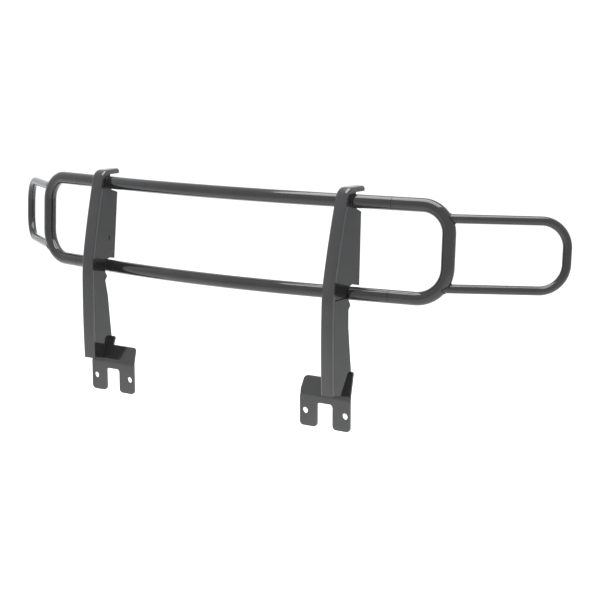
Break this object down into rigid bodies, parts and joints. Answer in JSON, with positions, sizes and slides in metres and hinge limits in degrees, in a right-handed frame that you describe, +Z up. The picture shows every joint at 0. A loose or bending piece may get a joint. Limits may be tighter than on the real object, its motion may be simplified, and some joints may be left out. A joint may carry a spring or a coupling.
{
  "type": "front grille guard",
  "caption": "Tubular front guard with a bowed ring, a swept wing loop on each side, and two folded uprights on bolt-on brackets.",
  "frame": {"origin": "on the vehicle's front mounting plane, midway between the two brackets, at the height of their bolt holes", "axes": "+X across the vehicle to the right-hand side of the front view, +Y rearward into the vehicle, +Z up"},
  "size_m": [1.9748, 0.364, 0.6807],
  "materials": {
    "painted_tube": "gloss black powder coat over bent steel tube",
    "painted_plate": "gloss black powder coat over folded steel plate",
    "weld_bead": "gloss black powder coat over rippled weld beads"
  },
  "bodies": {
    "root": {"upper_rail": "painted_tube", "lower_rail": "painted_tube", "ring_end_right": "painted_tube", "ring_end_left": "painted_tube", "wing_loop_right": "painted_tube", "wing_loop_left": "painted_tube", "upper_butt_weld_right": "weld_bead", "upper_butt_weld_left": "weld_bead", "lower_butt_weld_right": "weld_bead", "lower_butt_weld_left": "weld_bead", "upper_wing_weld_right": "weld_bead", "upper_wing_weld_left": "weld_bead", "lower_wing_weld_right": "weld_bead", "lower_wing_weld_left": "weld_bead", "face_channel_right": "painted_plate", "face_channel_left": "painted_plate", "inboard_wall_right": "painted_plate", "inboard_wall_left": "painted_plate", "outboard_upper_wall_right": "painted_plate", "outboard_upper_wall_left": "painted_plate", "outboard_lower_wall_right": "painted_plate", "outboard_lower_wall_left": "painted_plate", "upper_rail_inboard_weld_right": "weld_bead", "upper_rail_inboard_weld_left": "weld_bead", "upper_rail_outboard_weld_right": "weld_bead", "upper_rail_outboard_weld_left": "weld_bead", "lower_rail_inboard_weld_right": "weld_bead", "lower_rail_inboard_weld_left": "weld_bead", "lower_rail_outboard_weld_right": "weld_bead", "lower_rail_outboard_weld_left": "weld_bead", "inboard_foot_weld_right": "weld_bead", "inboard_foot_weld_left": "weld_bead", "outboard_foot_weld_right": "weld_bead", "outboard_foot_weld_left": "weld_bead", "mounting_bracket_right": "painted_plate", "mounting_bracket_left": "painted_plate"}
  },
  "joints": []
}
